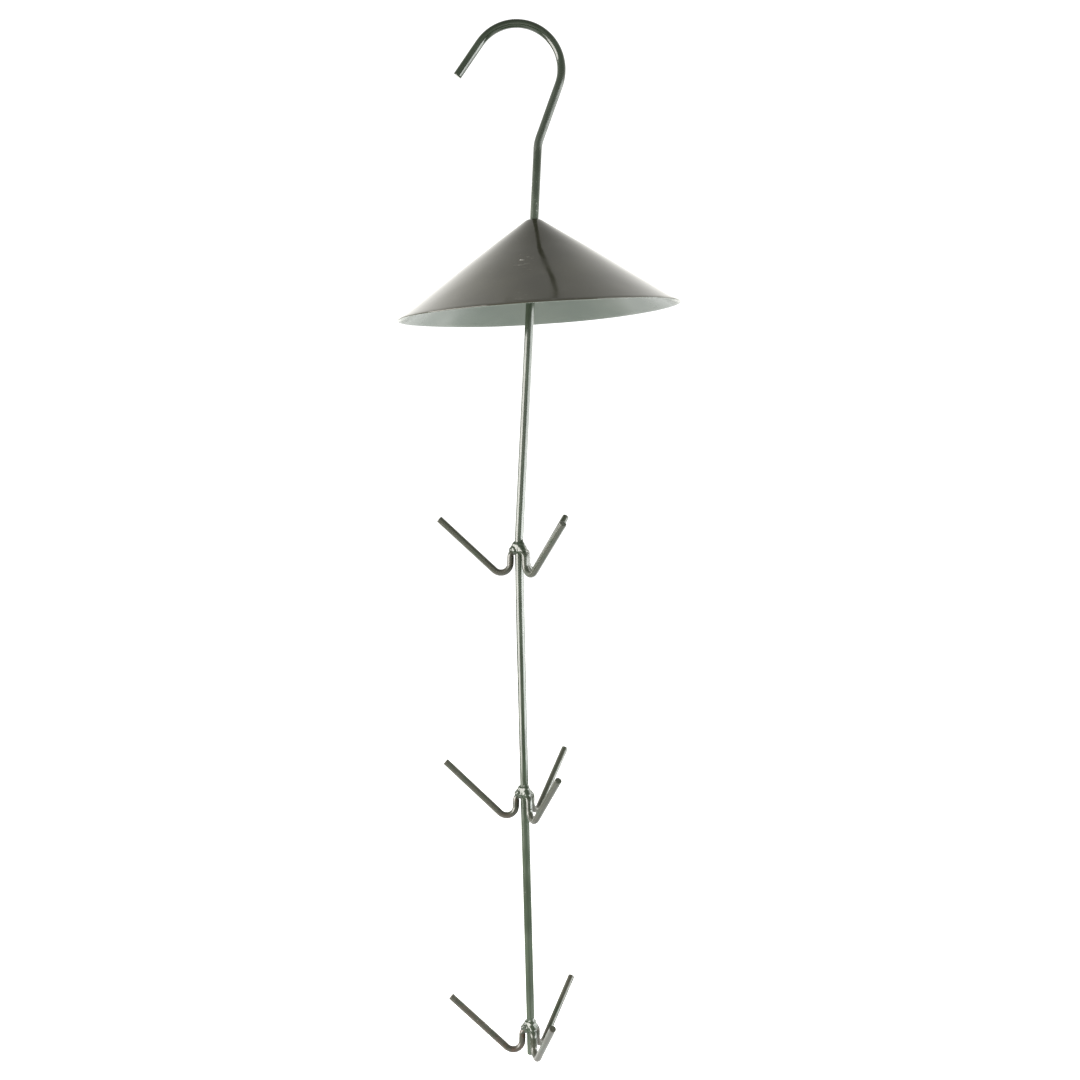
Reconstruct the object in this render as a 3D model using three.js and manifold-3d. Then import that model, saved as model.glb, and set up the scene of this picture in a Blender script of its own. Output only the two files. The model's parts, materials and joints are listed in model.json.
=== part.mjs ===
// Hanging wire bird feeder: a hooked centre rod, a loose cone roof on it, and
// three tiers of three bent prongs welded to the rod.
// Millimetres, +Z up. The origin is the hanging point, inside the crown of the hook.
// The hook lies in the XZ plane and opens towards -X.

import * as THREE from 'three';
import { mergeVertices } from 'three/addons/utils/BufferGeometryUtils.js';
import Module from 'manifold-3d';

const wasm = await Module();
wasm.setup();

// ---- driving dimensions -------------------------------------------------

const GAP = 0.3; // running gap between touching pieces

const ROD_D = 5; // hook, stem and rod are one wire
const PRONG_D = 4;

const HOOK_INNER_R = 23;
const HOOK_OPEN_DEG = 145; // where the free end leaves the circle, from +X
const HOOK_BACK_DEG = -20; // where the hook runs on into the stem
const HOOK_END_LENGTH = 22.5;

const STEM_CORNER = [12.1, -64.3]; // x, z of the kink between hook and stem
const STEM_KINK_R = 20;
const ROD_KINKS = [[1.1, -290], [1.8, -335], [4.2, -440], [7.9, -585]]; // x, z
const ROD_KINK_R = 60;
const ROD_END = [8.1, -598.7];

const STUB_START = ROD_D / 2 + GAP;
const SHOULDER_R = 2.25;
const U_BEND_R = 5.6;

// The prongs are bent alike for each side of the rod.
// legTop, legFoot: distance of the short leg from the rod at its shoulder and at the
// corner that the U-bend rounds off. drop: that corner below the stub.
// reach, rise: the tip from the rod's axis and above the stub.
const BENDS = {
  left: { legTop: 5, legFoot: 5.5, drop: 19, reach: 47, rise: 19 },
  front: { legTop: 6, legFoot: 7.5, drop: 19, reach: 46, rise: 19 },
  back: { legTop: 7.5, legFoot: 7, drop: 19.5, reach: 46, rise: 18.5 },
};

// They are set by eye when they are welded on, so the tiers differ a little.
// z: height of the stubs. azimuth: degrees from +X. changes: bends that came out otherwise.
const TIERS = [
  {
    z: -298,
    azimuth: { left: 175, front: 303, back: 53 },
    changes: {},
  },
  {
    z: -442,
    azimuth: { left: 175, front: 295, back: 58 },
    changes: { left: { rise: 19.5 }, back: { rise: 20 } },
  },
  {
    z: -584,
    azimuth: { left: 175, front: 286, back: 57 },
    changes: { left: { reach: 48 }, back: { legTop: 6.5, legFoot: 6 } },
  },
];

// A weld bead sits over each stub, from the rod out to the shoulder.
const WELD_OUT = 2.4; // centre of the bead from the rod's axis
const WELD_UP = 1.5; // centre of the bead above the stub
const WELD_RADII = [4.1, 3.9, 4.3]; // outwards, sideways, up
const WELD_SIDE_GAP = 0.4; // between two neighbouring beads
const WELD_REACH = 12; // further than a bead goes from the stub's start, any way

const ROOF_RIM_R = 81.6;
const ROOF_HEIGHT = 56.3; // of the sharp cone, before its nose is rounded
const ROOF_BULGE = 0.4; // how far the side swells out from a straight cone, half way down
const ROOF_NOSE_R = 10;
const ROOF_SHEET = 1;
const ROOF_HOLE_R = 4;
const ROOF_APEX_Z = -104.4; // where the sharp cone's point lies
const ROOF_SHIFT = -0.8; // the loose roof hangs a little to the left of the rod's axis
const ROOF_TILT_DEG = 3.6; // and a little low on its left

const WASHER_R = 6;
const WASHER_THICKNESS = 1.2;
const WASHER_BELOW_APEX = 7; // washer's top, along the rod
const STOP_R = 4.6;
const STOP_HEIGHT = 4;

const PAINT = { color: 0x33433a, roughness: 0.28, metalness: 0.1 };
const ROOF_PAINT = { color: 0x4d5147, roughness: 0.3, metalness: 0.15 };
const ZINC = { color: 0x9a9c98, roughness: 0.45, metalness: 0.8 };

// ---- paths ---------------------------------------------------------------

const radians = THREE.MathUtils.degToRad;

// A path that passes through given points; each point is one step of the sweep.
class PointPath extends THREE.Curve {
  constructor(points) {
    super();
    this.points = points;
  }

  getPoint(t, target = new THREE.Vector3()) {
    const last = this.points.length - 1;
    const i = Math.min(Math.floor(t * last + 1e-6), last - 1);
    return target.lerpVectors(this.points[i], this.points[i + 1], t * last - i);
  }

  getPointAt(u, target) {
    return this.getPoint(u, target);
  }

  getTangentAt(u, target = new THREE.Vector3()) {
    const last = this.points.length - 1;
    const i = Math.round(u * last);
    const before = this.points[Math.max(i - 1, 0)];
    const here = this.points[i];
    const after = this.points[Math.min(i + 1, last)];
    const arriving = here.clone().sub(before).normalize();
    const leaving = after.clone().sub(here).normalize();
    return target.copy(arriving).add(leaving).normalize();
  }
}

// Rounds the corners of a 2D polyline; bends[i] is the radius at corners[i + 1].
function roundCorners(corners, bends, stepDeg) {
  const points = [corners[0].clone()];
  for (let i = 1; i < corners.length - 1; i += 1) {
    const corner = corners[i];
    const back = corners[i - 1].clone().sub(corner).normalize();
    const ahead = corners[i + 1].clone().sub(corner).normalize();
    const half = Math.acos(THREE.MathUtils.clamp(back.dot(ahead), -1, 1)) / 2;
    const radius = bends[i - 1];
    const toCentre = back.clone().add(ahead).normalize();
    const centre = corner.clone().addScaledVector(toCentre, radius / Math.sin(half));
    const start = corner.clone().addScaledVector(back, radius / Math.tan(half)).sub(centre);
    const side = Math.sign(back.cross(start));
    const sweep = side * (Math.PI - 2 * half);
    const steps = Math.max(1, Math.ceil(Math.abs(sweep) / radians(stepDeg)));
    for (let k = 0; k <= steps; k += 1) {
      const turned = start.clone().rotateAround(new THREE.Vector2(), (sweep * k) / steps);
      points.push(turned.add(centre));
    }
  }
  points.push(corners[corners.length - 1].clone());
  return points;
}

function hookPoints() {
  const radius = HOOK_INNER_R + ROD_D / 2;
  const centre = new THREE.Vector2(0, -HOOK_INNER_R);
  const at = (deg) => new THREE.Vector2(Math.cos(radians(deg)), Math.sin(radians(deg)))
    .multiplyScalar(radius)
    .add(centre);
  const along = radians(HOOK_OPEN_DEG + 90);
  const free = new THREE.Vector2(Math.cos(along), Math.sin(along))
    .multiplyScalar(HOOK_END_LENGTH)
    .add(at(HOOK_OPEN_DEG));
  const points = [free];
  const steps = 26;
  for (let k = 0; k <= steps; k += 1) {
    points.push(at(HOOK_OPEN_DEG + ((HOOK_BACK_DEG - HOOK_OPEN_DEG) * k) / steps));
  }
  return points;
}

function rodPoints() {
  const hook = hookPoints();
  const corners = [hook.pop(), STEM_CORNER, ...ROD_KINKS, ROD_END]
    .map((p) => (p.isVector2 ? p : new THREE.Vector2(p[0], p[1])));
  const bends = [STEM_KINK_R, ...ROD_KINKS.map(() => ROD_KINK_R)];
  return [...hook, ...roundCorners(corners, bends, 4)]
    .map((p) => new THREE.Vector3(p.x, 0, p.y));
}

// x of the rod's axis at a height below the kink
function rodX(z) {
  const knots = [STEM_CORNER, ...ROD_KINKS, ROD_END];
  const i = knots.findIndex((knot, k) => k > 0 && knot[1] <= z);
  const [x0, z0] = knots[i - 1];
  const [x1, z1] = knots[i];
  return x0 + ((x1 - x0) * (z - z0)) / (z1 - z0);
}

// the rod's lean from the vertical between the kink and tier 1
const STEM_LEAN = Math.atan2(
  STEM_CORNER[0] - ROD_KINKS[0][0],
  STEM_CORNER[1] - ROD_KINKS[0][1],
);

// ---- solids --------------------------------------------------------------

function wire(points, diameter, sides) {
  const section = new THREE.Shape();
  for (let k = 0; k < sides; k += 1) {
    const a = (2 * Math.PI * k) / sides;
    const corner = [Math.cos(a) * diameter / 2, Math.sin(a) * diameter / 2];
    if (k === 0) section.moveTo(...corner);
    else section.lineTo(...corner);
  }
  section.closePath();
  const extrudePath = new PointPath(points);
  return new THREE.ExtrudeGeometry(section, { steps: points.length - 1, extrudePath });
}

// overrun: how much closer to the rod the stub starts
function prongPoints(prong, overrun = 0) {
  const corners = [
    new THREE.Vector2(STUB_START - overrun, 0),
    new THREE.Vector2(prong.legTop, 0),
    new THREE.Vector2(prong.legFoot, -prong.drop),
    new THREE.Vector2(prong.reach, prong.rise),
  ];
  return roundCorners(corners, [SHOULDER_R, U_BEND_R], 15)
    .map((p) => new THREE.Vector3(p.x, 0, p.y));
}

// A ring about Z. Each ring starts and ends on the same profile point.
function ring(profile, segments) {
  const points = [...profile, profile[0]].map(([r, z]) => new THREE.Vector2(r, z));
  const geometry = new THREE.LatheGeometry(points, segments);
  geometry.rotateX(Math.PI / 2);
  return geometry;
}

// Degrees from straight up, turning outwards, of the way from one (r, z) point to another.
function bearing(from, to) {
  return THREE.MathUtils.radToDeg(Math.atan2(to.x - from.x, to.y - from.y));
}

// Points of an arc, with its bearings from its centre.
function arcProfile(centre, radius, fromDeg, toDeg, steps) {
  const profile = [];
  for (let k = 0; k <= steps; k += 1) {
    const a = radians(fromDeg + ((toDeg - fromDeg) * k) / steps);
    profile.push([centre.x + radius * Math.sin(a), centre.y + radius * Math.cos(a)]);
  }
  return profile;
}

// The cone's sheet about Z, with the sharp cone's point at the origin. Its side is one
// shallow arc from the rim up to the nose, and the nose is an arc that meets it smoothly.
function roofGeometry() {
  const chord = Math.hypot(ROOF_RIM_R, ROOF_HEIGHT);
  const sideR = (chord ** 2 / 4 + ROOF_BULGE ** 2) / (2 * ROOF_BULGE);
  const depth = (sideR - ROOF_BULGE) / chord;
  const side = new THREE.Vector2(
    ROOF_RIM_R / 2 - ROOF_HEIGHT * depth,
    -ROOF_HEIGHT / 2 - ROOF_RIM_R * depth,
  );
  const noseZ = side.y + Math.sqrt((sideR - ROOF_NOSE_R) ** 2 - side.x ** 2);
  const nose = new THREE.Vector2(0, noseZ);
  const meetDeg = bearing(side, nose);
  const rimDeg = bearing(side, new THREE.Vector2(ROOF_RIM_R, -ROOF_HEIGHT));
  const face = (inset) => {
    const holeDeg = THREE.MathUtils.radToDeg(Math.asin(ROOF_HOLE_R / (ROOF_NOSE_R - inset)));
    return [
      ...arcProfile(nose, ROOF_NOSE_R - inset, holeDeg, meetDeg, 2),
      ...arcProfile(side, sideR - inset, meetDeg, rimDeg, 4).slice(1),
    ];
  };
  return ring([...face(ROOF_SHEET), ...face(0).reverse()], 72);
}

function washerGeometry() {
  const bore = ROD_D / 2 + GAP;
  return ring([
    [bore, 0],
    [WASHER_R, 0],
    [WASHER_R, -WASHER_THICKNESS],
    [bore, -WASHER_THICKNESS],
  ].reverse(), 32);
}

function stopGeometry() {
  const bore = ROD_D / 2 + GAP;
  const crown = (STOP_R + bore) / 2;
  return ring([
    [bore, 0],
    [crown, 0],
    [STOP_R, -STOP_HEIGHT * 0.3],
    [STOP_R, -STOP_HEIGHT * 0.6],
    [crown, -STOP_HEIGHT * 0.9],
    [bore, -STOP_HEIGHT],
  ].reverse(), 32);
}

function toSolid(geometry) {
  const bare = geometry.clone();
  bare.deleteAttribute('normal');
  bare.deleteAttribute('uv');
  const merged = mergeVertices(bare, 1e-4);
  return new wasm.Manifold(new wasm.Mesh({
    numProp: 3,
    vertProperties: new Float32Array(merged.attributes.position.array),
    triVerts: new Uint32Array(merged.index.array),
  }));
}

function toGeometry(solid) {
  const mesh = solid.getMesh();
  const geometry = new THREE.BufferGeometry();
  geometry.setAttribute('position', new THREE.BufferAttribute(mesh.vertProperties, 3));
  geometry.setIndex(new THREE.BufferAttribute(mesh.triVerts, 1));
  geometry.computeVertexNormals();
  return geometry;
}

// A wedge of the space about Z, between the bisectors to the two neighbours.
function wedge(fromDeg, toDeg) {
  const from = radians(fromDeg);
  const to = radians(toDeg);
  const inset = WELD_SIDE_GAP / 2 / Math.sin((to - from) / 2);
  const middle = (from + to) / 2;
  const tip = [inset * Math.cos(middle), inset * Math.sin(middle)];
  const shape = new THREE.Shape();
  shape.moveTo(...tip);
  for (const a of [from, middle, to]) {
    shape.lineTo(tip[0] + WELD_REACH * Math.cos(a), tip[1] + WELD_REACH * Math.sin(a));
  }
  shape.closePath();
  const depth = 2 * WELD_REACH;
  return new THREE.ExtrudeGeometry(shape, { depth, bevelEnabled: false })
    .translate(0, 0, -WELD_REACH);
}

// A bead about the stub at azimuth 0, kept clear of the rod, the wire and the
// neighbouring beads. before, after: degrees to the bisectors.
function weldGeometry(prong, before, after) {
  const bead = new THREE.SphereGeometry(1, 16, 10)
    .scale(...WELD_RADII)
    .translate(WELD_OUT, 0, WELD_UP);
  const rod = new THREE.CylinderGeometry(STUB_START, STUB_START, 2 * WELD_REACH, 24)
    .rotateX(Math.PI / 2);
  const stub = wire(prongPoints(prong, 1), PRONG_D + 2 * GAP, 10);
  const solid = toSolid(bead)
    .intersect(toSolid(wedge(-before, after)))
    .subtract(toSolid(rod))
    .subtract(toSolid(stub));
  const largest = solid.decompose().sort((a, b) => b.volume() - a.volume())[0];
  return toGeometry(largest);
}

// ---- assembly ------------------------------------------------------------

function piece(name, geometry, look) {
  const mesh = new THREE.Mesh(geometry, new THREE.MeshStandardMaterial(look));
  mesh.name = name;
  return mesh;
}

const group = new THREE.Group();
group.add(piece('hook_rod', wire(rodPoints(), ROD_D, 12), PAINT));

TIERS.forEach(({ z, azimuth, changes }, tier) => {
  const sides = Object.keys(BENDS);
  const frame = new THREE.Group();
  frame.position.set(rodX(z), 0, z);
  sides.forEach((side) => {
    const prong = { ...BENDS[side], ...changes[side] };
    const others = sides
      .filter((other) => other !== side)
      .map((other) => (azimuth[other] - azimuth[side] + 720) % 360);
    const after = Math.min(...others) / 2;
    const before = (360 - Math.max(...others)) / 2;
    const arm = new THREE.Group();
    arm.rotation.z = radians(azimuth[side]);
    arm.add(piece(`tier_${tier + 1}_prong_${side}`, wire(prongPoints(prong), PRONG_D, 10), PAINT));
    arm.add(piece(`tier_${tier + 1}_weld_${side}`, weldGeometry(prong, before, after), PAINT));
    frame.add(arm);
  });
  group.add(frame);
});

const roof = new THREE.Group();
roof.position.set(rodX(ROOF_APEX_Z) + ROOF_SHIFT, 0, ROOF_APEX_Z);
roof.rotation.y = -radians(ROOF_TILT_DEG);
roof.add(piece('roof', roofGeometry(), ROOF_PAINT));
group.add(roof);

const seat = new THREE.Group();
seat.position.set(rodX(ROOF_APEX_Z), 0, ROOF_APEX_Z);
seat.rotation.y = STEM_LEAN;
const washer = piece('roof_washer', washerGeometry(), ZINC);
washer.position.z = -WASHER_BELOW_APEX;
seat.add(washer);
const stop = piece('roof_stop', stopGeometry(), PAINT);
stop.position.z = -WASHER_BELOW_APEX - WASHER_THICKNESS - GAP;
seat.add(stop);
group.add(seat);

export default group;
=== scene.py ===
"""Looks of the hanging wire bird feeder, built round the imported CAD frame.

Metres in the CAD's frame: the origin is the hanging point inside the hook's crown, +Z is
up, the hook opens towards -X and the camera stands on the -Y side. Shapes are worked out
in millimetres, from the CAD's own driving dimensions, and turned to metres as meshes.
"""

import json
import math

import bmesh
import bpy
import numpy as np
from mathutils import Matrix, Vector, noise


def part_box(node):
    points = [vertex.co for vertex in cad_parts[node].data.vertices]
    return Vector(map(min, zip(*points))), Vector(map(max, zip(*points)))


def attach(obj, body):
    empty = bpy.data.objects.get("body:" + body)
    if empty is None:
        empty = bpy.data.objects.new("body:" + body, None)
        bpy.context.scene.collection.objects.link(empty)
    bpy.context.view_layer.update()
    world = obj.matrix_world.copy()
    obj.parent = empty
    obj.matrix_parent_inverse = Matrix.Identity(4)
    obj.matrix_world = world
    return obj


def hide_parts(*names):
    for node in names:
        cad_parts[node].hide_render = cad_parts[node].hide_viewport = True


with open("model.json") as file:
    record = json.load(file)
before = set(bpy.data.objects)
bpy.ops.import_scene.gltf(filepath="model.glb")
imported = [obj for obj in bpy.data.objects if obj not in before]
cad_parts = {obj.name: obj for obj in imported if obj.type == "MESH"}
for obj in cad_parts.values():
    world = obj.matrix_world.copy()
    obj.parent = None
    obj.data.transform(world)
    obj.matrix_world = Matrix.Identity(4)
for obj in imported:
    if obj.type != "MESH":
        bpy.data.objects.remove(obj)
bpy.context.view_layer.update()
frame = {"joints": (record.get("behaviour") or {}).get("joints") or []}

MM = 0.001

# ---- driving dimensions, in millimetres, as in the CAD --------------------------------

ROD_D = 5.0
PRONG_D = 4.0
HOOK_INNER_R = 23.0
HOOK_OPEN_DEG = 145.0
HOOK_BACK_DEG = -20.0
HOOK_END_LENGTH = 22.5
STEM_CORNER = (12.1, -64.3)
STEM_KINK_R = 20.0
ROD_KINKS = ((1.1, -290.0), (1.8, -335.0), (4.2, -440.0), (7.9, -585.0))
ROD_KINK_R = 60.0
ROD_END = (8.1, -598.7)
SHOULDER_R = 2.25
U_BEND_R = 5.6

# The prongs are bent alike for each side of the rod.
BENDS = {
    "left": {"leg_top": 5, "leg_foot": 5.5, "drop": 19, "reach": 47, "rise": 19},
    "front": {"leg_top": 6, "leg_foot": 7.5, "drop": 19, "reach": 46, "rise": 19},
    "back": {"leg_top": 7.5, "leg_foot": 7, "drop": 19.5, "reach": 46, "rise": 18.5},
}

# They are set by eye when they are welded on, so the tiers differ a little.
TIERS = (
    {
        "z": -298,
        "azimuth": {"left": 175, "front": 303, "back": 53},
        "changes": {},
    },
    {
        "z": -442,
        "azimuth": {"left": 175, "front": 295, "back": 58},
        "changes": {"left": {"rise": 19.5}, "back": {"rise": 20}},
    },
    {
        "z": -584,
        "azimuth": {"left": 175, "front": 286, "back": 57},
        "changes": {"left": {"reach": 48}, "back": {"leg_top": 6.5, "leg_foot": 6}},
    },
)
TIER_Z = [tier["z"] for tier in TIERS]
PRONGS = [
    {side: {**bend, **tier["changes"].get(side, {})} for side, bend in BENDS.items()}
    for tier in TIERS
]

ROOF_RIM_R = 81.6
ROOF_HEIGHT = 56.3
ROOF_BULGE = 0.4
ROOF_NOSE_R = 10.0
ROOF_SHEET = 1.0
ROOF_HOLE_R = 4.0

# ---- camera ---------------------------------------------------------------------------

CAMERA_PLACE = (0.0136, -0.8541, -0.2267)
CAMERA_DOWN_DEG = 4.307
CAMERA_LEFT_DEG = 0.019
CAMERA_LENS = 49.09
CAMERA_SENSOR = 36.0


def make_camera():
    data = bpy.data.cameras.new("camera")
    data.sensor_width = CAMERA_SENSOR
    data.lens = CAMERA_LENS
    data.clip_start = 0.01
    data.clip_end = 50.0
    camera = bpy.data.objects.new("camera", data)
    camera.location = CAMERA_PLACE
    camera.rotation_euler = (
        math.radians(90.0 - CAMERA_DOWN_DEG),
        0.0,
        math.radians(CAMERA_LEFT_DEG),
    )
    bpy.context.scene.collection.objects.link(camera)
    bpy.context.scene.camera = camera


make_camera()

# ---- node trees -----------------------------------------------------------------------


def smooth_range(tree, source, low, high, to_low=0.0, to_high=1.0):
    """Maps low..high to to_low..to_high smoothly, held outside that range."""
    node = tree.nodes.new("ShaderNodeMapRange")
    node.interpolation_type = "SMOOTHSTEP"
    node.inputs["From Min"].default_value = low
    node.inputs["From Max"].default_value = high
    node.inputs["To Min"].default_value = to_low
    node.inputs["To Max"].default_value = to_high
    tree.links.new(source, node.inputs["Value"])
    return node.outputs["Result"]


def calculated(tree, operation, *values):
    """A math node on one or two values, each a number or a socket."""
    node = tree.nodes.new("ShaderNodeMath")
    node.operation = operation
    for value, socket in zip(values, node.inputs):
        if isinstance(value, (int, float)):
            socket.default_value = value
        else:
            tree.links.new(value, socket)
    return node.outputs[0]


def mixed(tree, factor, a, b):
    """Mixes two colours, each a colour or a socket."""
    node = tree.nodes.new("ShaderNodeMix")
    node.data_type = "RGBA"
    tree.links.new(factor, node.inputs["Factor"])
    for value, socket in ((a, node.inputs[6]), (b, node.inputs[7])):
        if isinstance(value, tuple):
            socket.default_value = (*value, 1.0)
        else:
            tree.links.new(value, socket)
    return node.outputs[2]


# ---- light and floor ------------------------------------------------------------------

BACKDROP = 1.3  # what the camera sees behind the object, in units of display white
SKY_COLOUR = (1.0, 0.99, 0.95, 1)
SKY_BEHIND = 2.3  # the soft light that reflections see, behind the object
SKY_IN_FRONT = 0.8
SKY_TOP_SHARE = 0.34  # how much of it is left straight above
SKY_SIDE_SHARE = 1.25  # how much brighter it is high up on the left and right

# Where each of these changes sets in and is complete, along the direction's own axis.
SKY_FRONT_TO_BACK = (-0.6, 0.8)
SKY_LOW_TO_TOP = (0.1, 0.95)
SKY_MIDDLE_TO_SIDE = (0.04, 0.25)  # of the sideways share times the upward one

WARM_WHITE = (1.0, 0.965, 0.92)
COOL_WHITE = (0.97, 1.0, 0.975)
WHITE = (1.0, 1.0, 1.0)

# Softboxes about the rod: azimuth from the camera's side in degrees, positive to the right,
# distance from the rod, height of the middle, width, height, brightness and colour.
SOFTBOXES = {
    "softbox_right_low": (77, 1.3, -0.52, 1.45, 0.36, 14.5, COOL_WHITE),
    "softbox_right_high": (77, 1.3, -0.215, 1.45, 0.25, 9.5, COOL_WHITE),
    "softbox_right_back": (114, 1.3, -0.395, 0.75, 0.61, 3.0, COOL_WHITE),
    "softbox_left": (-68, 1.3, -0.37, 1.38, 0.8, 15.0, WARM_WHITE),
    "softbox_front": (0, 1.7, -0.27, 0.7, 0.42, 1.6, WARM_WHITE),
}

# Two more lie flat and face up: place, width, depth and brightness.
LIGHT_BELOW = ((0.05, 0, -0.95), 1.7, 1.7, 1.45)
LIGHT_BEHIND = ((0, 1.9, -0.98), 3.6, 2.4, 1.9)

FLOOR_Z = -1.05
FLOOR_SIZE = 9.0
FLOOR_TO_LIGHT = (0.16, 0.16, 0.155)  # how pale the floor is to light and reflections
FLOOR_GLOW = 0.9  # added where the camera sees the floor, so that it is as pale as the backdrop
PAPER_DARK = (0.9, 0.9, 0.895, 1)
PAPER_LIGHT = (0.93, 0.93, 0.925, 1)
PAPER_GRAIN = 40.0
PAPER_ROUGHNESS = 0.9


def sky_nodes(tree):
    """A soft room: bright behind the object, dimmer above it and on the camera's side."""
    nodes, links = tree.nodes, tree.links
    nodes.clear()
    coords = nodes.new("ShaderNodeTexCoord")
    axes = nodes.new("ShaderNodeSeparateXYZ")
    links.new(coords.outputs["Generated"], axes.inputs[0])
    x, y, z = (axes.outputs[name] for name in "XYZ")
    high_aside = calculated(tree, "MULTIPLY", calculated(tree, "ABSOLUTE", x), z)
    depth = smooth_range(tree, y, *SKY_FRONT_TO_BACK, SKY_IN_FRONT, SKY_BEHIND)
    height = smooth_range(tree, z, *SKY_LOW_TO_TOP, 1.0, SKY_TOP_SHARE)
    side = smooth_range(tree, high_aside, *SKY_MIDDLE_TO_SIDE, 1.0, SKY_SIDE_SHARE)
    strength = calculated(tree, "MULTIPLY", calculated(tree, "MULTIPLY", depth, height), side)
    room = nodes.new("ShaderNodeBackground")
    room.inputs["Color"].default_value = SKY_COLOUR
    links.new(strength, room.inputs["Strength"])
    backdrop = nodes.new("ShaderNodeBackground")
    backdrop.inputs["Color"].default_value = (*WHITE, 1)
    backdrop.inputs["Strength"].default_value = BACKDROP
    path = nodes.new("ShaderNodeLightPath")
    mix = nodes.new("ShaderNodeMixShader")
    links.new(path.outputs["Is Camera Ray"], mix.inputs[0])
    links.new(room.outputs[0], mix.inputs[1])
    links.new(backdrop.outputs[0], mix.inputs[2])
    out = nodes.new("ShaderNodeOutputWorld")
    links.new(mix.outputs[0], out.inputs["Surface"])


def softbox(name, place, target, width, height, radiance, colour=WHITE):
    """A rectangular light of a given brightness, which the camera itself doesn't see."""
    data = bpy.data.lights.new(name, "AREA")
    data.shape = "RECTANGLE"
    data.size = width
    data.size_y = height
    data.energy = radiance * math.pi * width * height
    data.color = colour
    light = bpy.data.objects.new(name, data)
    light.location = place
    towards = Vector(target) - Vector(place)
    light.rotation_euler = towards.to_track_quat("-Z", "Y").to_euler()
    light.visible_camera = False
    bpy.context.scene.collection.objects.link(light)


def around(azimuth_deg, distance, z):
    """A point at an azimuth from the camera's side of the rod, positive to the right."""
    a = math.radians(azimuth_deg)
    return (distance * math.sin(a), -distance * math.cos(a), z)


def make_light():
    scene = bpy.context.scene
    scene.view_settings.view_transform = "Standard"
    world = bpy.data.worlds.new("room")
    scene.world = world
    world.use_nodes = True
    sky_nodes(world.node_tree)
    for name, (azimuth, distance, z, *size_and_light) in SOFTBOXES.items():
        softbox(name, around(azimuth, distance, z), (0, 0, z), *size_and_light)
    place, *size_and_light = LIGHT_BELOW
    softbox("light_below", place, (0, 0, 0), *size_and_light)
    place, *size_and_light = LIGHT_BEHIND
    softbox("light_behind", place, (place[0], place[1], 0), *size_and_light)


def paper_material():
    material = bpy.data.materials.new("floor_paper")
    material.use_nodes = True
    tree = material.node_tree
    nodes, links = tree.nodes, tree.links
    shader = nodes["Principled BSDF"]
    shader.inputs["Roughness"].default_value = PAPER_ROUGHNESS
    shader.inputs["Specular IOR Level"].default_value = 0.0
    shader.inputs["Emission Color"].default_value = (*WHITE, 1)
    path = nodes.new("ShaderNodeLightPath")
    glow = calculated(tree, "MULTIPLY", path.outputs["Is Camera Ray"], FLOOR_GLOW)
    links.new(glow, shader.inputs["Emission Strength"])
    grain = nodes.new("ShaderNodeTexNoise")
    grain.inputs["Scale"].default_value = PAPER_GRAIN
    ramp = nodes.new("ShaderNodeValToRGB")
    ramp.color_ramp.elements[0].color = PAPER_DARK
    ramp.color_ramp.elements[1].color = PAPER_LIGHT
    links.new(grain.outputs["Fac"], ramp.inputs[0])
    seen = mixed(tree, path.outputs["Is Camera Ray"], FLOOR_TO_LIGHT, ramp.outputs["Color"])
    links.new(seen, shader.inputs["Base Color"])
    return material


def make_floor():
    mesh = bpy.data.meshes.new("floor")
    half = FLOOR_SIZE / 2
    corners = [(-half, -half), (half, -half), (half, half), (-half, half)]
    mesh.from_pydata([(x, y, FLOOR_Z) for x, y in corners], [], [(0, 1, 2, 3)])
    floor = bpy.data.objects.new("floor", mesh)
    mesh.materials.append(paper_material())
    bpy.context.scene.collection.objects.link(floor)


make_light()
make_floor()

# ---- paths, in millimetres ------------------------------------------------------------

HOOK_STEPS = 110
BEND_STEP_DEG = 2


def unit(v):
    return v / np.linalg.norm(v)


def turned(v, angle):
    c, s = math.cos(angle), math.sin(angle)
    return np.array((c * v[0] - s * v[1], s * v[0] + c * v[1]))


def rounded(corners, bends):
    """A 2D polyline with its corners rounded; bends[i] is the radius at corners[i + 1]."""
    corners = [np.array(c, float) for c in corners]
    points = [corners[0]]
    for before, corner, after, radius in zip(corners, corners[1:], corners[2:], bends):
        back, ahead = unit(before - corner), unit(after - corner)
        half = math.acos(max(-1.0, min(1.0, float(back @ ahead)))) / 2
        centre = corner + unit(back + ahead) * radius / math.sin(half)
        start = corner + back * radius / math.tan(half) - centre
        side = math.copysign(1.0, back[0] * start[1] - back[1] * start[0])
        sweep_angle = side * (math.pi - 2 * half)
        steps = max(1, math.ceil(abs(math.degrees(sweep_angle)) / BEND_STEP_DEG))
        points += [centre + turned(start, sweep_angle * k / steps) for k in range(steps + 1)]
    points.append(corners[-1])
    return np.array(points)


def resampled(points, step):
    """The same line with its points evenly spaced, about step apart."""
    gaps = np.linalg.norm(np.diff(points, axis=0), axis=1)
    along = np.concatenate([[0.0], np.cumsum(gaps)])
    at = np.linspace(0.0, along[-1], round(along[-1] / step) + 1)
    return np.stack([np.interp(at, along, column) for column in points.T], axis=1)


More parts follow.
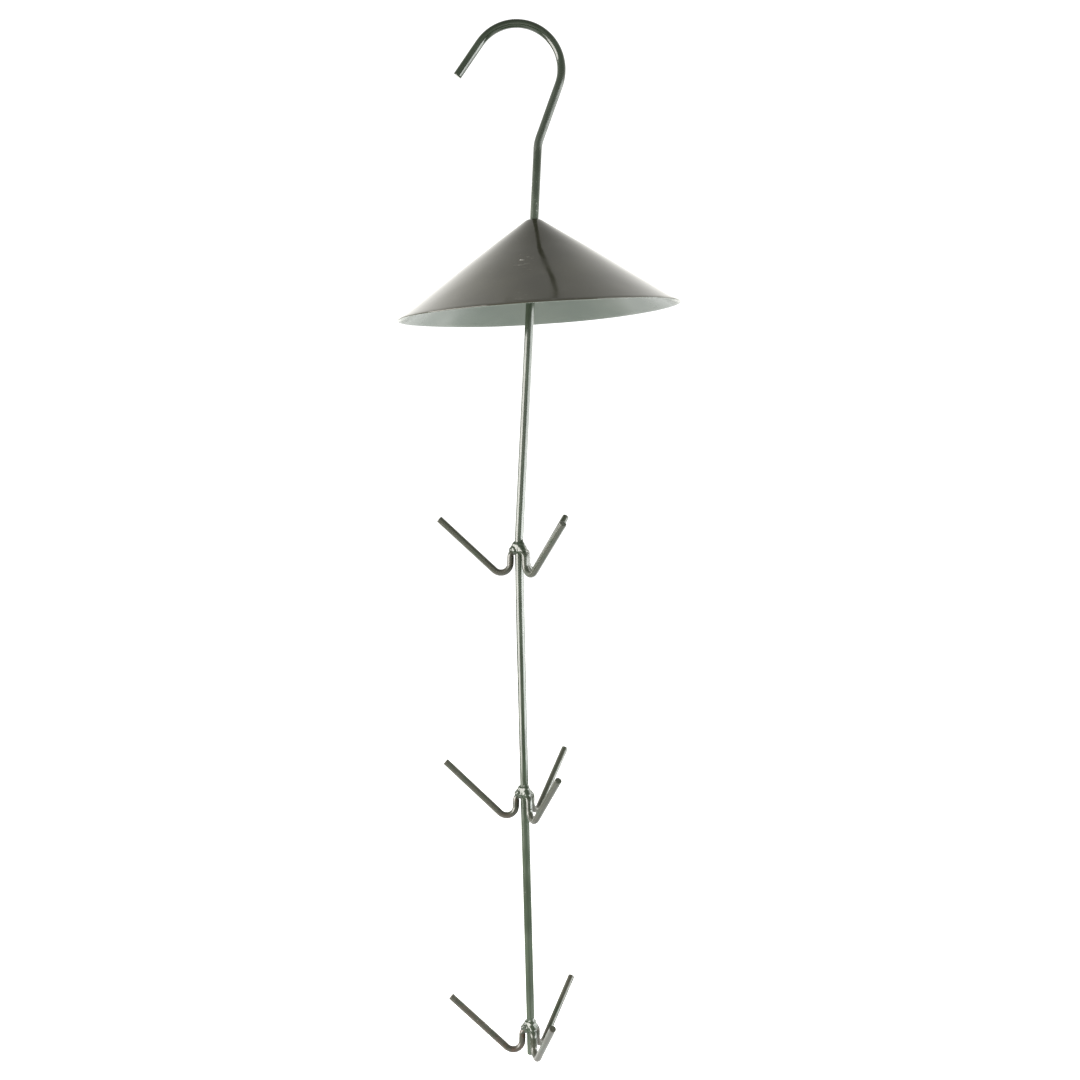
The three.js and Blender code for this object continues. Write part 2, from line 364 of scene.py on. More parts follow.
def rod_path():
    """x, z of the one wire that is hook, stem and rod, from the hook's free end."""
    radius = HOOK_INNER_R + ROD_D / 2
    centre = np.array((0.0, -HOOK_INNER_R))

    def on_hook(deg):
        return centre + turned(np.array((radius, 0.0)), math.radians(deg))

    along = turned(np.array((HOOK_END_LENGTH, 0.0)), math.radians(HOOK_OPEN_DEG + 90))
    free_end = on_hook(HOOK_OPEN_DEG) + along
    turn = HOOK_BACK_DEG - HOOK_OPEN_DEG
    hook = [on_hook(HOOK_OPEN_DEG + turn * k / HOOK_STEPS) for k in range(HOOK_STEPS + 1)]
    corners = [hook[-1], STEM_CORNER, *ROD_KINKS, ROD_END]
    bends = [STEM_KINK_R] + [ROD_KINK_R] * len(ROD_KINKS)
    return np.concatenate([[free_end], hook[:-1], rounded(corners, bends)])


def rod_x(z):
    """x of the rod's axis at a height below the kink."""
    knots = np.array([STEM_CORNER, *ROD_KINKS, ROD_END])
    return float(np.interp(-z, -knots[:, 1], knots[:, 0]))


def prong_path(prong, start):
    """r, z of a prong from its stub, which starts that far from the rod's axis."""
    corners = [
        (start, 0),
        (prong["leg_top"], 0),
        (prong["leg_foot"], -prong["drop"]),
        (prong["reach"], prong["rise"]),
    ]
    return rounded(corners, [SHOULDER_R, U_BEND_R])


# ---- meshes ---------------------------------------------------------------------------

# How a cut end is rounded off: distance from the end and share of the radius.
CUT_EDGE = ((0.0, 0.84), (0.05, 0.92), (0.16, 0.975), (0.4, 1.0))

# The cut face is a little dished: a ring at this share of the radius and its depth, and the
# depth of the middle.
CUT_RING_SHARE = 0.5
CUT_RING_DEPTH = 0.04
CUT_MIDDLE_DEPTH = 0.1

BEND_FLATTENING = 0.12  # how much a wire is flattened where it bends
SHARP_DEG = 38.0  # edges sharper than this are shaded as edges


def wobble(points, size, seed):
    """Smooth noise, about -1 to 1, over points in millimetres; size is a lump's width."""
    shift = Vector((seed * 17.3, seed * -5.1, seed * 9.7))
    return np.array([noise.noise(Vector(p) / size + shift) for p in points])


def smooth_between(values, low, high):
    t = np.clip((np.asarray(values) - low) / (high - low), 0, 1)
    return t * t * (3 - 2 * t)


def nearness(points, place, reach):
    """1 at the place, falling smoothly to nothing at about twice that reach."""
    return np.exp(-((np.linalg.norm(points - np.array(place), axis=1) / reach) ** 2))


def new_piece(name, verts, faces, attributes, materials, sharp_deg=SHARP_DEG):
    """A mesh object from vertices in millimetres, with named per-vertex values."""
    mesh = bpy.data.meshes.new(name)
    mesh.from_pydata((np.asarray(verts) * MM).tolist(), [], faces)
    for key, values in attributes.items():
        layer = mesh.attributes.new(key, "FLOAT", "POINT")
        layer.data.foreach_set("value", np.asarray(values, np.float32))
    mesh.polygons.foreach_set("use_smooth", [True] * len(mesh.polygons))
    mesh.set_sharp_from_angle(angle=math.radians(sharp_deg))
    for material in materials:
        mesh.materials.append(material)
    mesh.update()
    piece = bpy.data.objects.new(name, mesh)
    bpy.context.scene.collection.objects.link(piece)
    return piece


def sweep(path, to_world, radius, sides, step):
    """Vertices and faces of a closed round wire along a 2D path.

    to_world turns (u, w, v) into a world point: u and v span the path's plane and w is
    across it. The wire is a touch flatter where it bends, as bent wire is.
    """
    line = resampled(path, step)
    tangent = np.gradient(line, axis=0)
    tangent /= np.linalg.norm(tangent, axis=1)[:, None]
    turn = np.gradient(np.unwrap(np.arctan2(tangent[:, 1], tangent[:, 0])))
    flat = 1 - BEND_FLATTENING * np.abs(turn) * radius / step
    edge = [(line[0] + tangent[0] * d, tangent[0], s, s) for d, s in CUT_EDGE]
    inner = [(p, t, f, 1.0) for p, t, f in zip(line[1:-1], tangent[1:-1], flat[1:-1])]
    far_edge = [(line[-1] - tangent[-1] * d, tangent[-1], s, s) for d, s in CUT_EDGE[::-1]]
    rings = edge + inner + far_edge
    angles = np.linspace(0, 2 * math.pi, sides, endpoint=False)
    verts = []
    for point, t, in_plane, across in rings:
        side = np.array((-t[1], t[0]))
        for a in angles:
            u, v = point + side * (radius * in_plane * math.cos(a))
            verts.append(to_world(u, radius * across * math.sin(a), v))
    last = len(rings) - 1
    faces = []
    for i in range(last):
        for k in range(sides):
            n = (k + 1) % sides
            faces.append((i * sides + k, (i + 1) * sides + k, (i + 1) * sides + n, i * sides + n))
    # the cut faces: a ring half way in, then the middle
    ends = ((0, line[0], tangent[0], 1), (last, line[-1], -tangent[-1], -1))
    for ring, point, t, order in ends:
        first = len(verts)
        side = np.array((-t[1], t[0])) * order
        ring_r = radius * CUT_RING_SHARE
        for a in angles:
            u, v = point + t * CUT_RING_DEPTH + side * (ring_r * math.cos(a))
            verts.append(to_world(u, ring_r * math.sin(a), v))
        centre = len(verts)
        u, v = point + t * CUT_MIDDLE_DEPTH
        verts.append(to_world(u, 0.0, v))
        for k in range(sides):
            n = (k + 1) % sides
            quad = (ring * sides + n, ring * sides + k, first + k, first + n)
            cap = (first + n, first + k, centre)
            faces.append(quad[::-1] if order == 1 else quad)
            faces.append(cap[::-1] if order == 1 else cap)
    return np.array(verts), faces


def roughened(verts, faces, lumps, seed):
    """Moves vertices along their normals by noise; lumps are (width, height) pairs."""
    mesh = bpy.data.meshes.new("temporary")
    mesh.from_pydata(verts.tolist(), [], faces)
    normals = np.zeros(len(verts) * 3)
    mesh.vertex_normals.foreach_get("vector", normals)
    bpy.data.meshes.remove(mesh)
    shift = sum(height * wobble(verts, size, seed + i) for i, (size, height) in enumerate(lumps))
    return verts + normals.reshape(-1, 3) * shift[:, None]


# ---- materials ------------------------------------------------------------------------

PAINT_IOR = 1.5
GREEN_DARK = (0.009, 0.017, 0.008)
GREEN_LIGHT = (0.047, 0.064, 0.044)
OLIVE = (0.043, 0.040, 0.031)
RUST = (0.062, 0.034, 0.022)
BARE_STEEL = (0.36, 0.37, 0.34)
ROOF_SCRATCH = (0.36, 0.36, 0.33)
ZINC_DARK = (0.42, 0.43, 0.42)
ZINC_LIGHT = (0.62, 0.63, 0.61)


class Graph:
    """Short hand for building a material's node tree."""

    def __init__(self, name):
        self.material = bpy.data.materials.new(name)
        self.material.use_nodes = True
        self.tree = self.material.node_tree
        self.shader = self.tree.nodes["Principled BSDF"]
        self.coords = self.tree.nodes.new("ShaderNodeTexCoord").outputs["Object"]

    def set(self, socket_name, value):
        """Puts a node's output, or a constant number, on one of the shader's sockets."""
        socket = self.shader.inputs[socket_name]
        if isinstance(value, float):
            socket.default_value = value
        else:
            self.tree.links.new(value, socket)

    def noise(self, size_mm, detail=3.0, roughness=0.5, stretch=None):
        node = self.tree.nodes.new("ShaderNodeTexNoise")
        node.inputs["Scale"].default_value = 1000.0 / size_mm
        node.inputs["Detail"].default_value = detail
        node.inputs["Roughness"].default_value = roughness
        source = self.coords
        if stretch:
            mapping = self.tree.nodes.new("ShaderNodeMapping")
            mapping.inputs["Scale"].default_value = stretch
            self.tree.links.new(source, mapping.inputs["Vector"])
            source = mapping.outputs["Vector"]
        self.tree.links.new(source, node.inputs["Vector"])
        return node.outputs["Fac"]

    def attribute(self, name):
        node = self.tree.nodes.new("ShaderNodeAttribute")
        node.attribute_name = name
        return node.outputs["Fac"]

    def ramp(self, source, low, high, to_low=0.0, to_high=1.0):
        return smooth_range(self.tree, source, low, high, to_low, to_high)

    def math(self, operation, a, b):
        return calculated(self.tree, operation, a, b)

    def mix(self, factor, a, b):
        return mixed(self.tree, factor, a, b)

    def bump(self, height, distance_mm, strength, before=None):
        node = self.tree.nodes.new("ShaderNodeBump")
        node.inputs["Strength"].default_value = strength
        node.inputs["Distance"].default_value = distance_mm * MM
        self.tree.links.new(height, node.inputs["Height"])
        if before:
            self.tree.links.new(before, node.inputs["Normal"])
        return node.outputs["Normal"]


def wire_paint():
    """Glossy dark green dip paint, thin and brownish where the wire was heated or bent."""
    g = Graph("wire_paint")
    patches = g.ramp(g.noise(22, 2), 0.35, 0.65, -0.15, 0.15)
    # On the rod, pale carries painted light: its green is darker at the hook and paler further
    # down.
    green = g.mix(g.math("ADD", patches, g.attribute("pale")), GREEN_DARK, GREEN_LIGHT)
    browned = g.math("MULTIPLY", g.attribute("wear"), g.ramp(g.noise(9, 1), 0.15, 0.55))
    colour = g.mix(browned, green, OLIVE)
    rust = g.math("MULTIPLY", g.attribute("rust"), g.ramp(g.noise(2.6, 5), 0.42, 0.6))
    colour = g.mix(rust, colour, RUST)
    specks = g.ramp(g.noise(1.3, 2, 0.4), 0.79, 0.81)
    scuffs = g.ramp(g.noise(0.9, 3, 0.6, stretch=(1, 1, 0.4)), 0.66, 0.72)
    bare = g.math("MAXIMUM", specks, g.math("MULTIPLY", scuffs, g.attribute("scuff")))
    g.set("Base Color", g.mix(bare, colour, BARE_STEEL))
    g.set("IOR", PAINT_IOR)
    smooth = g.ramp(g.noise(14, 0), 0.35, 0.7, 0.11, 0.19)
    duller = g.math("MULTIPLY", g.math("MAXIMUM", browned, bare), 0.2)
    handled = g.math("MULTIPLY", g.attribute("dull"), 0.3)
    g.set("Roughness", g.math("ADD", smooth, g.math("MAXIMUM", duller, handled)))
    peel = g.bump(g.noise(7, 0), 0.06, 0.3)
    g.set("Normal", g.bump(g.math("SUBTRACT", 1.0, bare), 0.05, 0.5, peel))
    return g.material


def roof_paint(name, dark, light, roughness, bumps):
    """The cone's gloss paint, sprayed, with faint mottling, dust and fine scratches.

    roughness holds its least and greatest value, and bumps the strengths of the sheet's
    own waves and of the paint's orange peel.
    """
    g = Graph(name)
    patches = g.ramp(g.noise(45, 3), 0.35, 0.68)
    dust = g.ramp(g.noise(1.3, 2, 0.4), 0.74, 0.79)
    scratch = g.ramp(g.noise(3.0, 2, 0.4, stretch=(0.5, 0.5, 5)), 0.66, 0.69)
    marks = g.math("MULTIPLY", g.math("MAXIMUM", dust, scratch), g.attribute("marks"))
    g.set("Base Color", g.mix(marks, g.mix(patches, dark, light), ROOF_SCRATCH))
    g.set("IOR", PAINT_IOR)
    gloss = g.ramp(g.noise(14, 4), 0.3, 0.7, *roughness)
    g.set("Roughness", g.math("ADD", gloss, g.math("MULTIPLY", marks, 0.25)))
    sheet_strength, peel_strength = bumps
    sheet = g.bump(g.noise(16, 1), 0.12, sheet_strength)
    g.set("Normal", g.bump(g.noise(2.6, 1), 0.02, peel_strength, sheet))
    return g.material


def zinc_plate():
    """Dull zinc plating, blotched and slightly pitted."""
    g = Graph("zinc")
    g.set("Base Color", g.mix(g.ramp(g.noise(2.2, 4), 0.3, 0.7), ZINC_DARK, ZINC_LIGHT))
    g.set("Metallic", 1.0)
    g.set("Roughness", g.ramp(g.noise(1.2, 3), 0.3, 0.7, 0.32, 0.5))
    g.set("Normal", g.bump(g.noise(0.8, 3), 0.03, 0.4))
    return g.material


WIRE_PAINT = wire_paint()
ROOF_OUTSIDE = roof_paint(
    "roof_outside", (0.022, 0.0215, 0.014), (0.032, 0.031, 0.020), (0.08, 0.14), (0.3, 0.3)
)
ROOF_INSIDE = roof_paint(
    "roof_inside", (0.048, 0.064, 0.050), (0.062, 0.077, 0.061), (0.2, 0.27), (0.12, 0.05)
)
ZINC = zinc_plate()

# ---- the wires ------------------------------------------------------------------------

ROD_SIDES = 28
ROD_STEP = 1.0
PRONG_SIDES = 24
PRONG_STEP = 0.6
PRONG_START = 0.6  # how far from the rod's axis a prong's stub starts, hidden in the weld

# How uneven the drawn wire and its paint are: width and height of each kind of lump.
ROD_LUMPS = ((28, 0.035), (6, 0.018))
PRONG_LUMPS = ((16, 0.03), (4.5, 0.02))

TIER_WEAR = (0.7, 0.8, 1.0)  # how browned each tier's wires are
PRONG_HEAT = {"left": 1.0, "front": 0.3, "back": 0.8}  # how brown the weld's heat left them
PAINT_PALE = 0.4  # how pale the green is where nothing else is said

ROD_WEAR = 0.1
ROD_WEAR_AT_TIERS = 0.15  # more of it round each tier
ROD_WEAR_REACH = 7

# Stretches of the rod: the heights between which each one sets in, and those between which
# it fades.
RUBBED_STRETCH = ((-128, -108), (-104, -70))  # scuffed, under the roof's nose and above it
DULL_STRETCH = ((-72, -62), (-38, -22))  # the hook's back, down to the kink

# How pale the rod is at its top, and what is added between two depths below the crown.
# This is painted light: the rod is painted darker at the hook and paler further down, for
# how the light falls on it, as the paint itself doesn't change there.
ROD_PALE = 0.08
ROD_PALER_PAINTED_LIGHT = ((0.3, 60, 100), (0.42, 300, 560))

# The middle of a prong's U-bend, out from and above the corner of leg and arm, the middle
# of its weld, out from the rod's axis, and how far each one marks the paint.
U_BEND_MIDDLE = 5
WELD_MIDDLE = 3
BEND_REACH = 9
WELD_REACH = 8


def paint_values(count, wear, rust=0.0, scuff=0.0, dull=0.0, pale=PAINT_PALE):
    """What wire_paint looks up at each vertex, from one number or from one for each."""
    values = {"wear": wear, "rust": rust, "scuff": scuff, "dull": dull, "pale": pale}
    return {key: np.zeros(count) + value for key, value in values.items()}


def stretch(z, sets_in, fades):
    """1 along a stretch of heights and 0 off it, with soft ends."""
    return smooth_between(z, *sets_in) * (1 - smooth_between(z, *fades))


def rod_to_world(u, w, v):
    """The rod is bent in the plane of x and z, so its path's place is its place."""
    return (u, w, v)


def make_rod():
    verts, faces = sweep(rod_path(), rod_to_world, ROD_D / 2, ROD_SIDES, ROD_STEP)
    verts = roughened(verts, faces, ROD_LUMPS, 1)
    z = verts[:, 2]
    at_tiers = sum(
        wear * np.exp(-(((z - tier) / ROD_WEAR_REACH) ** 2))
        for tier, wear in zip(TIER_Z, TIER_WEAR)
    )
    # painted light: the rod's green grows paler further below the crown
    paler = sum(share * smooth_between(-z, low, high) for share, low, high in ROD_PALER_PAINTED_LIGHT)
    attributes = paint_values(
        len(verts),
        ROD_WEAR + at_tiers * ROD_WEAR_AT_TIERS,
        scuff=stretch(z, *RUBBED_STRETCH),
        dull=stretch(z, *DULL_STRETCH) * (verts[:, 0] > 0),
        pale=ROD_PALE + paler,
    )
    rod = new_piece("rod", verts, faces, attributes, [WIRE_PAINT])
    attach(rod, "frame")
    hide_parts("hook_rod")


def prong_to_world(tier, side):
    """Turns a point of a prong's own frame, out, sideways and up, into a world point."""
    z0 = TIER_Z[tier]
    x0 = rod_x(z0)
    azimuth = math.radians(TIERS[tier]["azimuth"][side])
    c, s = math.cos(azimuth), math.sin(azimuth)
    return lambda u, w, v: (x0 + u * c - w * s, u * s + w * c, z0 + v)


def make_prong(tier, side):
    prong = PRONGS[tier][side]
    name = f"tier_{tier + 1}_prong_{side}"
    seed = 10 + 3 * tier + list(BENDS).index(side)
    to_world = prong_to_world(tier, side)
    path = prong_path(prong, PRONG_START)
    verts, faces = sweep(path, to_world, PRONG_D / 2, PRONG_SIDES, PRONG_STEP)
    verts = roughened(verts, faces, PRONG_LUMPS, seed)
    bend_middle = to_world(prong["leg_foot"] + U_BEND_MIDDLE, 0, U_BEND_MIDDLE - prong["drop"])
    at_bend = nearness(verts, bend_middle, BEND_REACH)
    at_weld = nearness(verts, to_world(WELD_MIDDLE, 0, 0), WELD_REACH)
    heated = PRONG_HEAT[side] * TIER_WEAR[tier]
    worn = TIER_WEAR[tier] * 0.7 * (1 - at_weld) + heated * (0.4 * at_bend + 0.5 * at_weld)
    rusty = heated**4 * (0.25 + 0.35 * at_bend + 0.5 * at_weld)
    attributes = paint_values(len(verts), worn, rusty)
    piece = new_piece(name.replace("prong", "wire"), verts, faces, attributes, [WIRE_PAINT])
    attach(piece, "frame")
    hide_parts(name)


# ---- the weld puddles -----------------------------------------------------------------

WELD_SUNK = 0.22  # the puddle's skin passes this far under the wires' own skin
WELD_VOXEL = 0.26
WELD_SMOOTHING = 9
WELD_SHARP_DEG = 80
WELD_LUMPS = ((3.4, 0.12), (1.6, 0.03))
WELD_WEAR = 0.1
WELD_RUST = 0.15
WELD_RUST_DEPTHS = (-1.5, 1.5)  # below the stubs' axis, from no rust to all of it

# How much rod and prong is fused into the puddle, and how finely they are made for it.
CORE_BELOW = 3.5
CORE_ABOVE = 9.5
CORE_SIDES = 24
CORE_STEP = 1.0
STUB_PAST_SHOULDER = 3.5
STUB_SIDES = 20
STUB_STEP = 0.5

# Blobs of each bead, in the prong's own frame: out, sideways, up, and their radii. They
# make a ridge from the rod down to the prong's shoulder, with spatter beside it.
BLOBS = (
    (1.0, 0.0, 6.4, 1.8, 2.0, 2.1),
    (2.1, 0.1, 4.2, 2.1, 2.2, 2.2),
    (3.2, -0.1, 2.4, 2.0, 2.2, 1.9),
    (4.3, 0.0, 1.2, 1.9, 2.2, 1.7),
    (2.1, 0.0, 1.2, 2.9, 2.9, 3.0),
    (3.2, 1.3, 2.2, 1.3, 1.3, 1.3),
    (2.6, -1.5, 3.0, 1.1, 1.0, 1.2),
)
BLOB_JITTER = 0.35

# One more blob lies on the front of the rod, where the welder finished: x, y, z and radii.
FINISH_BLOB = (-0.1, -1.5, 3.4, 2.6, 1.9, 3.1)


def add_blob(bm, to_world, blob, seed):
    out, sideways, up, *radii = blob
    jitter = [BLOB_JITTER * noise.noise(Vector((seed * 3.1, k * 7.7, out))) for k in range(3)]
    made = bmesh.ops.create_icosphere(bm, subdivisions=3, radius=1.0)
    for vert in made["verts"]:
        r = [vert.co[k] * radii[k] for k in range(3)]
        u, w, v = out + jitter[0] + r[0], sideways + jitter[1] + r[1], up + jitter[2] + r[2]
        vert.co = to_world(u, w, v)


def add_mesh(bm, verts, faces):
    made = [bm.verts.new(v) for v in verts]
    for face in faces:
        bm.faces.new([made[i] for i in face])


def voxel_remeshed(bm):
    """The union of all closed shapes in bm as one even skin."""
    mesh = bpy.data.meshes.new("temporary")
    bm.to_mesh(mesh)
    bm.free()
    lump = bpy.data.objects.new("temporary", mesh)
    bpy.context.scene.collection.objects.link(lump)
    remesh = lump.modifiers.new("remesh", "REMESH")
    remesh.mode = "VOXEL"
    remesh.voxel_size = WELD_VOXEL
    remesh.adaptivity = 0.0
    depsgraph = bpy.context.evaluated_depsgraph_get()
    made = bpy.data.meshes.new_from_object(lump.evaluated_get(depsgraph))
    bpy.data.objects.remove(lump)
    bpy.data.meshes.remove(mesh)
    return made


def smoothed(mesh):
    """Vertices and faces of a mesh, smoothed; the mesh itself is removed."""
    bm = bmesh.new()
    bm.from_mesh(mesh)
    bpy.data.meshes.remove(mesh)
    for _ in range(WELD_SMOOTHING):
        bmesh.ops.smooth_vert(
            bm, verts=bm.verts, factor=0.5, use_axis_x=True, use_axis_y=True, use_axis_z=True
        )
    verts = np.array([v.co for v in bm.verts])
    faces = [[v.index for v in f.verts] for f in bm.faces]
    bm.free()
    return verts, faces


def make_weld(tier):
    """One fused puddle over the three stubs of a tier, filleted into rod and wires."""
    bm = bmesh.new()
    z0 = TIER_Z[tier]
    low, high = z0 - CORE_BELOW, z0 + CORE_ABOVE
    core = np.array([(rod_x(low), low), (rod_x(high), high)])
    core_r = ROD_D / 2 - WELD_SUNK
    add_mesh(bm, *sweep(core, rod_to_world, core_r, CORE_SIDES, CORE_STEP))
    for number, (side, prong) in enumerate(PRONGS[tier].items()):
        to_world = prong_to_world(tier, side)
        path = resampled(prong_path(prong, PRONG_START), STUB_STEP)
        stub = path[: int((prong["leg_top"] + STUB_PAST_SHOULDER) / STUB_STEP)]
        stub_r = PRONG_D / 2 - WELD_SUNK
        add_mesh(bm, *sweep(stub, to_world, stub_r, STUB_SIDES, STUB_STEP))
        for k, blob in enumerate(BLOBS):
            add_blob(bm, to_world, blob, tier * 31 + number * 7 + k)
    add_blob(bm, lambda x, y, z: (rod_x(z0) + x, y, z0 + z), FINISH_BLOB, tier)
    verts, faces = smoothed(voxel_remeshed(bm))
    verts = roughened(verts, faces, WELD_LUMPS, 40 + tier)
    below = smooth_between(z0 - verts[:, 2], *WELD_RUST_DEPTHS)
    rusty = TIER_WEAR[tier] ** 4 * WELD_RUST * below
    attributes = paint_values(len(verts), WELD_WEAR * TIER_WEAR[tier], rusty)
    name = f"tier_{tier + 1}_weld"
    piece = new_piece(name, verts, faces, attributes, [WIRE_PAINT], WELD_SHARP_DEG)
    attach(piece, "frame")
    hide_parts(*[f"tier_{tier + 1}_weld_{side}" for side in PRONGS[tier]])


make_rod()
for tier_number in range(len(PRONGS)):
    for side_name in PRONGS[tier_number]:
        make_prong(tier_number, side_name)
    make_weld(tier_number)

# ---- the roof, its washer and its stop ------------------------------------------------

ROOF_SEGMENTS = 300
ROOF_SIDE_STEPS = 44
ROOF_RIM_STEPS = 8
ROOF_NOSE_STEPS = {"inside": 8, "outside": 10}
ROOF_SHARP_DEG = 50
ROOF_MARKS_PLACE = (-7.5, -42)  # where the paint is scratched, x, y from the roof's axis
ROOF_MARKS_SIZE = 3.5
ROOF_MARKS_ELSEWHERE = 0.04
ROOF_DENTS = ((38, 0.2, 61), (13, 0.05, 62))  # width, depth and seed
ROOF_DENTS_HEIGHT_SHARE = 0.2  # heights count little, so both faces are dented alike
ROOF_DENTS_FULL_R = 30.0  # dents and warp grow from nothing at the hole to all of it here

# The thin sheet isn't a true cone. Its rim is bent up a little, most on the right, and its
# front is a little hollow. Both are in millimetres.
ROOF_WARP = (0.2, 1.0, 0.4)  # all round, with the square and the cube of x
ROOF_HOLLOW = 1.2  # half way down the front

WASHER_BORE_R = ROD_D / 2 + 0.3
WASHER_EDGE_R = 6.0
WASHER_THICKNESS = 1.2
WASHER_BEVEL = 0.3
WASHER_BEVEL_STEPS = 4
WASHER_SEGMENTS = 64
WASHER_LUMPS = ((2.5, 0.04),)
WASHER_SHARP_DEG = 60

STOP_BORE_R = ROD_D / 2 - 0.1
STOP_EDGE_R = 4.6
STOP_HEIGHT = 3.88
STOP_SIDES = 20
STOP_SEGMENTS = 72
STOP_WEAR = 0.5
STOP_RUST = 0.3
STOP_LUMPS = ((3.2, 0.3), (1.4, 0.14))
STOP_SHARP_DEG = 80

joints = {joint["name"]: joint for joint in frame["joints"]}
roof_axis = Vector(joints["roof_spin"]["axis"]).normalized()
roof_apex = Vector(joints["roof_spin"]["pos_m"]) / MM
stem_axis = Vector(joints["roof_lift"]["axis"]).normalized()


def placed(verts, axis, place):
    """Turns points about +Z to that axis, and moves them to that place."""
    turn = Vector((0, 0, 1)).rotation_difference(axis).to_matrix()
    return verts @ np.array(turn).T + np.array(place)


def lathe(profile, segments):
    """A closed ring about Z from a closed (r, z) profile, listed anticlockwise."""
    angles = np.linspace(0, 2 * math.pi, segments, endpoint=False)
    verts = [(r * math.cos(a), r * math.sin(a), z) for r, z in profile for a in angles]
    faces = []
    for i in range(len(profile)):
        j = (i + 1) % len(profile)
        for k in range(segments):
            n = (k + 1) % segments
            faces.append((i * segments + k, i * segments + n, j * segments + n, j * segments + k))
    return np.array(verts), faces


def arc(centre, radius, from_deg, to_deg, steps):
    """(r, z) points of an arc; degrees turn anticlockwise from +r."""
    angles = np.radians(np.linspace(from_deg, to_deg, steps + 1))
    return [(centre[0] + radius * math.cos(a), centre[1] + radius * math.sin(a)) for a in angles]


def roof_profile():
    """The bent sheet's outline, from the hole's lower edge round by the rim.

    Returns the profile and the number of its first point on the outer face.
    """
    chord = math.hypot(ROOF_RIM_R, ROOF_HEIGHT)
    side_r = (chord**2 / 4 + ROOF_BULGE**2) / (2 * ROOF_BULGE)
    depth = (side_r - ROOF_BULGE) / chord
    side = (ROOF_RIM_R / 2 - ROOF_HEIGHT * depth, -ROOF_HEIGHT / 2 - ROOF_RIM_R * depth)
    nose = (0.0, side[1] + math.sqrt((side_r - ROOF_NOSE_R) ** 2 - side[0] ** 2))
    edge = ROOF_SHEET / 2
    inner_r = ROOF_NOSE_R - ROOF_SHEET
    meet_deg = math.degrees(math.atan2(nose[1] - side[1], -side[0]))
    rim_turn = math.atan2(-ROOF_HEIGHT - side[1], ROOF_RIM_R - side[0])
    rim_deg = math.degrees(rim_turn + edge / side_r)
    hole_deg = math.degrees(math.acos(ROOF_HOLE_R / ROOF_NOSE_R))
    inner_hole_deg = math.degrees(math.acos(ROOF_HOLE_R / inner_r))
    rim = arc(side, side_r - edge, rim_deg, rim_deg, 0)[0]
    inside = [
        *arc(nose, inner_r, inner_hole_deg, meet_deg, ROOF_NOSE_STEPS["inside"])[:-1],
        *arc(side, side_r - ROOF_SHEET, meet_deg, rim_deg, ROOF_SIDE_STEPS)[:-1],
    ]
    outside = [
        *arc(rim, edge, rim_deg - 180, rim_deg, ROOF_RIM_STEPS),
        *arc(side, side_r, rim_deg, meet_deg, ROOF_SIDE_STEPS)[1:],
        *arc(nose, ROOF_NOSE_R, meet_deg, hole_deg, ROOF_NOSE_STEPS["outside"])[1:],
    ]
    return inside + outside, len(inside) + ROOF_RIM_STEPS // 2


def warped(verts, radius):
    """How far each point of the cone's sheet is moved up."""
    across = verts[:, 0] / ROOF_RIM_R
    bent_up = sum(rise * across**power for rise, power in zip(ROOF_WARP, (0, 2, 3)))
    to_front = np.clip(-verts[:, 1] / np.maximum(radius, 1), 0, 1) ** 2
    down = radius / ROOF_RIM_R
    return bent_up - ROOF_HOLLOW * 4 * down * (1 - down) * to_front


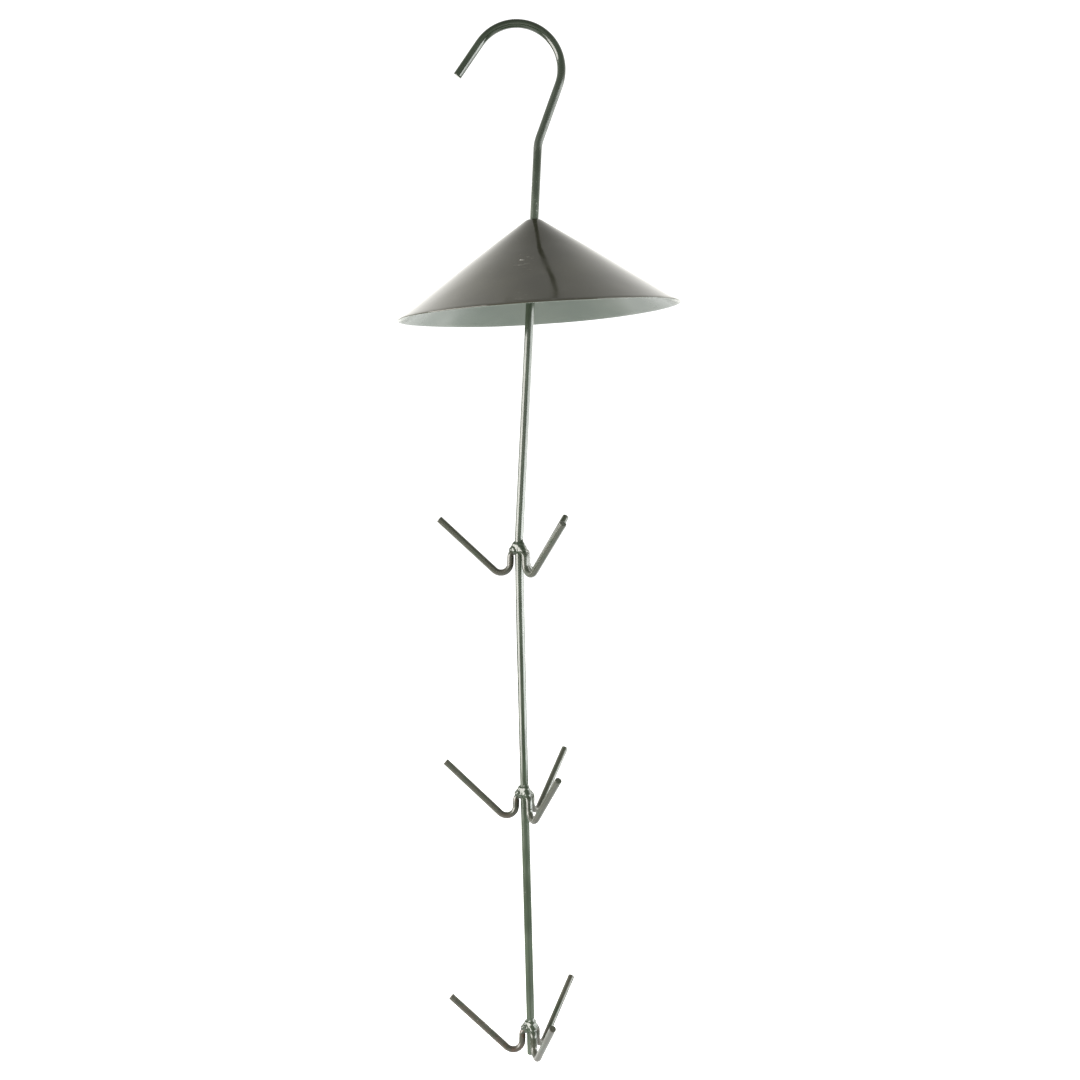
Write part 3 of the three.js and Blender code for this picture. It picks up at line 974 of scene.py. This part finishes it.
def make_roof():
    profile, first_outer = roof_profile()
    verts, faces = lathe(profile, ROOF_SEGMENTS)
    # both faces of the sheet move together, so its thickness stays
    radius = np.hypot(verts[:, 0], verts[:, 1])
    flat = verts * (1, 1, ROOF_DENTS_HEIGHT_SHARE)
    dents = sum(depth * wobble(flat, size, seed) for size, depth, seed in ROOF_DENTS)
    away_from_hole = smooth_between(radius, ROOF_HOLE_R, ROOF_DENTS_FULL_R)
    verts[:, 2] += (dents + warped(verts, radius)) * away_from_hole
    ring = np.repeat(np.arange(len(profile)), ROOF_SEGMENTS)
    scratched = nearness(verts[:, :2], ROOF_MARKS_PLACE, ROOF_MARKS_SIZE)
    marks = ROOF_MARKS_ELSEWHERE + (1 - ROOF_MARKS_ELSEWHERE) * scratched
    attributes = {"marks": (ring >= first_outer) * marks}
    verts = placed(verts, roof_axis, roof_apex)
    paints = [ROOF_OUTSIDE, ROOF_INSIDE]
    piece = new_piece("roof_cone", verts, faces, attributes, paints, ROOF_SHARP_DEG)
    inside = [0 if f // ROOF_SEGMENTS >= first_outer else 1 for f in range(len(faces))]
    piece.data.polygons.foreach_set("material_index", inside)
    piece.data.update()
    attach(piece, "roof")
    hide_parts("roof")


def box_middle(node):
    low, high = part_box(node)
    return (low + high) / 2 / MM


def make_washer():
    half = WASHER_THICKNESS / 2 - WASHER_BEVEL
    outer = WASHER_EDGE_R - WASHER_BEVEL
    inner = WASHER_BORE_R + WASHER_BEVEL
    profile = [
        *arc((outer, -half), WASHER_BEVEL, -90, 0, WASHER_BEVEL_STEPS),
        *arc((outer, half), WASHER_BEVEL, 0, 90, WASHER_BEVEL_STEPS),
        *arc((inner, half), WASHER_BEVEL, 90, 180, WASHER_BEVEL_STEPS),
        *arc((inner, -half), WASHER_BEVEL, 180, 270, WASHER_BEVEL_STEPS),
    ]
    verts, faces = lathe(profile, WASHER_SEGMENTS)
    verts = roughened(verts, faces, WASHER_LUMPS, 71)
    verts = placed(verts, stem_axis, box_middle("roof_washer"))
    piece = new_piece("roof_washer_ring", verts, faces, {}, [ZINC], WASHER_SHARP_DEG)
    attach(piece, "washer")
    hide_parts("roof_washer")


def make_stop():
    middle = (STOP_BORE_R + STOP_EDGE_R) / 2
    across = (STOP_EDGE_R - STOP_BORE_R) / 2
    turns = np.radians(np.linspace(0, 360, STOP_SIDES, endpoint=False))
    profile = [(middle + across * math.cos(a), STOP_HEIGHT / 2 * math.sin(a)) for a in turns]
    verts, faces = lathe(profile, STOP_SEGMENTS)
    verts = roughened(verts, faces, STOP_LUMPS, 81)
    verts = placed(verts, stem_axis, box_middle("roof_stop"))
    attributes = paint_values(len(verts), STOP_WEAR, STOP_RUST)
    piece = new_piece("roof_stop_bead", verts, faces, attributes, [WIRE_PAINT], STOP_SHARP_DEG)
    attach(piece, "frame")
    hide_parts("roof_stop")


make_roof()
make_washer()
make_stop()
